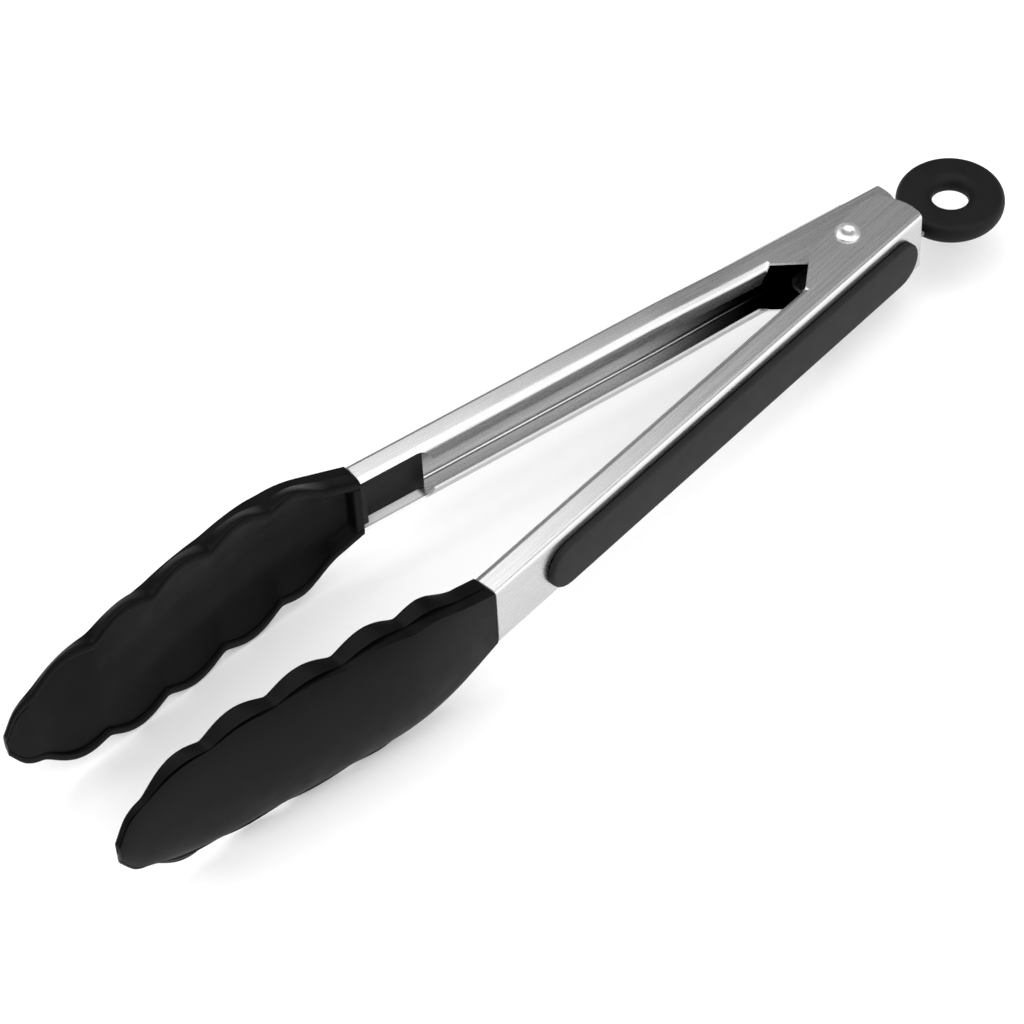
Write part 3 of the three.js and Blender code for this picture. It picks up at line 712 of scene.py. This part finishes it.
def spring_leg(side, z):
    """A curve from the coil's side to the web of one arm, without its first point."""
    angle = math.radians(HALF_OPENING)
    p = WEB_P - SHEET - FIT_GAP - WIRE_R
    end = Vector((
        SPRING_LEG_U * math.cos(angle) - p * math.sin(angle),
        side * (SPRING_LEG_U * math.sin(angle) + p * math.cos(angle)),
        z,
    ))
    start = Vector((0, side * COIL_R, z))
    middle = Vector((COIL_R + SPRING_KNEE[0], side * (COIL_R + SPRING_KNEE[1]), z))
    steps = 12
    ts = [i / steps for i in range(1, steps + 1)]
    return [(1 - t) ** 2 * start + 2 * t * (1 - t) * middle + t ** 2 * end for t in ts]


def spring_path():
    """Centre of the wire: one leg, the coil from its bottom to its top, and the other leg."""
    per_turn = 32
    count = round(per_turn * COIL_TURNS)
    coil = []
    for i in range(count + 1):
        angle = math.pi / 2 + 2 * math.pi * i / per_turn
        z = lerp(COIL_BOTTOM_Z, COIL_TOP_Z, i / count)
        coil.append(Vector((COIL_R * math.cos(angle), COIL_R * math.sin(angle), z)))
    return spring_leg(1, COIL_BOTTOM_Z)[::-1] + coil + spring_leg(-1, COIL_TOP_Z)


def build_spring(material):
    """Round wire along the spring's path, from one jaw's web across the coil to the other's."""
    path = spring_path()
    sides = 10
    vertices = []
    for i, point in enumerate(path):
        ahead = path[min(i + 1, len(path) - 1)] - path[max(i - 1, 0)]
        across = ahead.cross(Vector((0, 0, 1))).normalized()
        above = across.cross(ahead).normalized()
        for j in range(sides):
            angle = 2 * math.pi * j / sides
            vertices.append(point + WIRE_R * (across * math.cos(angle) + above * math.sin(angle)))
    faces = ring_faces(len(path), sides)
    faces += [tuple(range(sides)), tuple(range(len(vertices) - sides, len(vertices)))]
    obj = add_mesh("spring_wire_coil", vertices, faces, pivot_matrix(), material, None,
                   "torsion_spring")
    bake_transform(obj)
    return obj


def build_ring(material):
    """Flat ring with a rounded rim and a hole that flares like a funnel."""
    half = RING_THICKNESS / 2
    rim = [(RING_OUTER_R - RING_EDGE_R + RING_EDGE_R * x, half * y) for x, y in arc((0, 0), 1, -90, 90, 16)]
    funnel = RING_FUNNEL_R - RING_HOLE_R
    hole = [(RING_FUNNEL_R + funnel * x, half * y) for x, y in arc((0, 0), 1, 90, 270, 16)]
    vertices, faces = revolve(rim + hole, 72)
    matrix = pivot_matrix() @ Matrix.Translation(Vector((RING_X, 0, RING_Z)) * MM)
    return add_mesh("hanging_ring", vertices, faces, matrix, material, "lock", "pull_ring")


# ---- Grip pads ----

def stadium(radius, rear, front, steps=12):
    """Points round a slot shape between two centres, in (u, z)."""
    return arc((front, 0), radius, -90, 90, steps) + arc((rear, 0), radius, 90, 270, steps)


def build_grip(arm, material):
    """Soft pad with round ends, rounded edges and a slightly crowned face."""
    radius = GRIP_HALF_WIDTH
    rear = GRIP_REAR_U + radius
    front = GRIP_FRONT_U - radius
    base = WEB_P + FIT_GAP
    edge = GRIP_THICKNESS - GRIP_CROWN
    levels = [(0, 0), (0, edge - GRIP_FILLET_R)]
    for inset, height in arc((GRIP_FILLET_R, edge - GRIP_FILLET_R), GRIP_FILLET_R, 165, 90, 5):
        levels.append((inset, height))
    for t in (0.2, 0.4, 0.6, 0.8, 0.98):
        inset = lerp(GRIP_FILLET_R, radius, t)
        levels.append((inset, edge + GRIP_CROWN * (1 - (1 - t) ** 2)))
    points = []
    for inset, height in levels:
        points += [(u, base + height, z + GRIP_Z) for u, z in stadium(radius - inset, rear, front)]
    count = len(stadium(1, 0, 1))
    faces = ring_faces(len(levels), count)
    faces += [tuple(range(count)), tuple(range(len(points) - count, len(points)))]
    return add_mesh(f"{arm.prefix}_grip", arm.to_mesh(points), faces, pivot_matrix(), material, arm.body,
                    f"{arm.prefix}_grip_pad")


# ---- Heads ----

valley_half_width = through(RIM_HALF_WIDTH)
rim_p = through(RIM_P)
back_centre_p = through(BACK_P)
back_crown = through(BACK_CROWN)


def rim_half_width(u):
    """The scalloped rim: round lobes that meet in narrow valleys, faded out at the heel and the tip."""
    wave = math.sin(math.pi * (u - FIRST_VALLEY_U) / LOBE_PITCH)
    rounded = (math.hypot(wave, LOBE_SOFTNESS) - LOBE_SOFTNESS) / (math.hypot(1, LOBE_SOFTNESS) - LOBE_SOFTNESS)
    heel_fade = smoothstep(u, LOBE_START_U, LOBE_FULL_U)
    tip_fade = lerp(1, LOBE_TIP_SHARE, smoothstep(u, HEAD_TIP_U - LOBE_TIP_FADE, HEAD_TIP_U))
    return valley_half_width(u) + LOBE_HEIGHT * rounded * heel_fade * tip_fade


def back_p(u, z):
    """Outer surface of the back, crowned across its width and fuller on the upper side."""
    across = min(abs(z) / (valley_half_width(u) + BACK_OVERHANG), 1)
    crown = back_crown(u) * (UPPER_FULLNESS if z > 0 else 1)
    return back_centre_p(u) - crown * (1 - math.sqrt(1 - BACK_ROUNDNESS * across * across))


def floor_p(u):
    """Floor of the scoop, which closes onto the rim at the heel wall and the tip."""
    heel = HEAD_REAR_U + HEEL_WALL
    tip = HEAD_TIP_U - TIP_WALL
    open_part = smoothstep(u, heel, heel + HEEL_SLOPE) * (1 - smoothstep(u, tip - TIP_SLOPE, tip))
    deep = max(back_centre_p(u) - FLOOR_THICKNESS, rim_p(u) + SCOOP_EDGE_DEPTH + 0.1)
    return lerp(rim_p(u), deep, open_part)


def shoulder_half_width(u):
    """The edge of the back, which follows the lobes only a little."""
    valley = valley_half_width(u)
    least = SHOULDER_LEAST * valley
    return max(valley - SHOULDER_INSET, least) + SHOULDER_SWELL * (rim_half_width(u) - valley)


def outer_half_section(u, side):
    """(p, z) from the middle of the back over the shoulder and the crease to the foot of the rim's fillet."""
    low = rim_p(u)
    rim = rim_half_width(u)
    shoulder = shoulder_half_width(u)
    foot = lerp(shoulder, rim, BAND_FOOT)
    edge = back_p(u, side * shoulder)
    band_top = min(low + RIM_BAND, edge - 0.2)
    crease = band_top - min(CREASE_DEPTH, CREASE_MOST * (band_top - low))
    half = [
        (back_p(u, side * t * shoulder), t * shoulder)
        for t in (0, 0.15, 0.3, 0.45, 0.6, 0.72, 0.84, 0.94, 1)
    ]
    half += [
        (lerp(edge, band_top, 0.6), shoulder),
        (crease, shoulder - CREASE_WIDTH / 2),
        (crease, shoulder + CREASE_WIDTH / 2),
        (band_top, foot),
    ]
    half += [(lerp(band_top, low, t), lerp(foot, rim, math.sin(t * math.pi / 2))) for t in (0.3, 0.6)]
    return half


def inner_half_section(u):
    """(p, z) over the rounded rim, down the scoop's wall and along its floor to the middle."""
    low = rim_p(u)
    rim = rim_half_width(u)
    wall = max(rim - RIM_WALL, WALL_LEAST * rim)
    floor = min(FLOOR_HALF_WIDTH, FLOOR_MOST * wall)
    fillet = min(RIM_FILLET_R, FILLET_MOST * rim)
    depth = floor_p(u)
    scoop_edge = min(low + SCOOP_EDGE_DEPTH, depth)
    half = [(low + y, rim - fillet + x) for x, y in arc((0, fillet), fillet, 0, -90, 4)]
    half += [(low + y, wall + fillet + x) for x, y in arc((0, fillet), fillet, 270, 180, 4)]
    half += [(lerp(scoop_edge, depth, t), lerp(wall, floor, t)) for t in (0, 0.08, 0.35, 0.65, 0.94)]
    half += [(depth, t * floor) for t in (0.92, 0.6, 0.3, 0)]
    return half


def half_head_ring(u, side):
    """One side of the cover's section, lifted where the tip turns up."""
    rise = TIP_RISE * smoothstep(u, TIP_RISE_U, HEAD_TIP_U)
    section = outer_half_section(u, side) + inner_half_section(u)
    return [(u, p, side * z + rise) for p, z in section]


def head_ring(u):
    """Closed section of the cover, both sides."""
    return half_head_ring(u, 1) + half_head_ring(u, -1)[-2:0:-1]


def head_stations():
    """Even stations, closer together at the heel wall and towards the tip."""
    count = round((HEAD_TIP_U - HEAD_REAR_U) / HEAD_STEP)
    even = [lerp(HEAD_REAR_U, HEAD_TIP_U, i / count) for i in range(count + 1)]
    heel = [HEAD_REAR_U + HEEL_WALL + 0.25 * i for i in range(7)]
    tip = [HEAD_TIP_U - 0.15 * i for i in range(1, 6)]
    return sorted(set(even + heel + tip))


def build_head(arm, material):
    """The silicone cover, skinned over its sections and closed at both ends."""
    rings = [head_ring(u) for u in head_stations()]
    count = len(rings[0])
    points = [point for ring in rings for point in ring]
    faces = ring_faces(len(rings), count)
    faces += [tuple(range(count)), tuple(range(len(points) - count, len(points)))]
    return add_mesh(f"{arm.prefix}_head_shell", arm.to_mesh(points), faces, pivot_matrix(), material, arm.body,
                    f"{arm.prefix}_head_cover", sharp_angle=55)


# ---- Carried-over CAD nodes ----

def repaint(node_name, material, edge_radius):
    """A better finish and softened edges for a CAD node whose shape is right."""
    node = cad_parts[node_name]
    for slot in node.material_slots:
        slot.material = material
    add_edge_break(node, edge_radius)


# ---- Stage ----

def add_floor():
    """White paper that glows faintly."""
    mesh = bpy.data.meshes.new("floor")
    size = FLOOR_HALF_SIZE
    corners = [(-size, -size, 0), (size, -size, 0), (size, size, 0), (-size, size, 0)]
    mesh.from_pydata(corners, [], [(0, 1, 2, 3)])
    material, shader = new_material("floor_paper", grey(0.93), 0.0, 0.9)
    fibre = noise(material, grey(400), detail=2)
    tint(material, shader, fibre, grey(0.92), grey(0.94))
    shader.inputs["Emission Color"].default_value = (*grey(1.0), 1)
    shader.inputs["Emission Strength"].default_value = FLOOR_GLOW
    mesh.materials.append(material)
    floor = bpy.data.objects.new("floor", mesh)
    bpy.context.collection.objects.link(floor)


def add_softbox(name, location, size, power):
    """A rectangular area light that faces the origin."""
    light = bpy.data.lights.new(name, "AREA")
    light.shape = "RECTANGLE"
    light.size, light.size_y = size
    light.energy = power
    obj = bpy.data.objects.new(name, light)
    obj.location = location
    obj.rotation_euler = (-Vector(location)).to_track_quat("-Z", "Y").to_euler()
    bpy.context.collection.objects.link(obj)


def add_world():
    """Even white light from all sides."""
    world = bpy.data.worlds.new("studio")
    world.use_nodes = True
    background = world.node_tree.nodes["Background"]
    background.inputs["Color"].default_value = (*grey(1.0), 1)
    background.inputs["Strength"].default_value = WORLD_STRENGTH
    bpy.context.scene.world = world


def add_camera():
    """Looks down on the tongs from the heads' end and the outer arm's side, with a small roll."""
    low, high = CAD_BOUNDS
    middle = (Vector(low) + Vector(high)) / 2
    aim = middle + Vector((*CAMERA_AIM, 0))
    azimuth = math.radians(CAMERA_AZIMUTH)
    elevation = math.radians(CAMERA_ELEVATION)
    outward = Vector((
        math.cos(elevation) * math.cos(azimuth),
        math.cos(elevation) * math.sin(azimuth),
        math.sin(elevation),
    ))
    camera = bpy.data.cameras.new("camera")
    camera.lens = CAMERA_LENS
    camera.sensor_width = 36
    obj = bpy.data.objects.new("camera", camera)
    turn = outward.to_track_quat("Z", "Y").to_matrix().to_4x4()
    roll = Matrix.Rotation(math.radians(CAMERA_ROLL), 4, "Z")
    obj.matrix_world = Matrix.Translation(aim + CAMERA_DISTANCE * outward) @ turn @ roll
    bpy.context.collection.objects.link(obj)
    bpy.context.scene.camera = obj


# ---- Build ----

def main():
    """Builds the materials, the pieces, the stage and the camera."""
    silicone = soft_polymer("silicone", grey(0.0015), grey(0.003), 0.45, 0.08, 2600, 0.00002)
    grip_rubber = soft_polymer("grip_rubber", grey(0.010), grey(0.015), 0.62, 0.18, 2200, 0.00003)
    ring_rubber = soft_polymer("ring_rubber", grey(0.004), grey(0.007), 0.58, 0.15, 2400, 0.00002)
    nylon = moulded_nylon()
    sheared_edge_highlight = cut_edge_with_painted_highlight()
    zinc = zinc_strip()

    arms = [
        Arm("outer", 1, OUTER_HALF_HEIGHT, OUTER_HALF_HEIGHT),
        Arm("inner", -1, INNER_HALF_HEIGHT, NESTED_HALF_HEIGHT),
    ]
    for arm in arms:
        # The outside brightness per arm is painted light and shade.
        outside = brushed_steel(arm, "outside", OUTSIDE_LIT_AND_SHADED_BRIGHTNESS[arm.prefix])
        inside = brushed_steel(arm, "inside", INSIDE_BRIGHTNESS)
        build_arm(arm, outside, inside, sheared_edge_highlight)
        build_grip(arm, grip_rubber)
        build_head(arm, silicone)
        repaint(f"{arm.prefix}_head_core", nylon, 0.3)

    build_rivet(polished_rivet())
    build_spring(spring_steel())
    build_ring(ring_rubber)
    repaint("spring_bush", nylon, 0.2)
    repaint("lock_strip", zinc, 0.15)

    add_floor()
    add_world()
    for softbox in SOFTBOXES:
        add_softbox(*softbox)
    add_camera()
    bpy.context.scene.view_settings.view_transform = "Standard"


main()
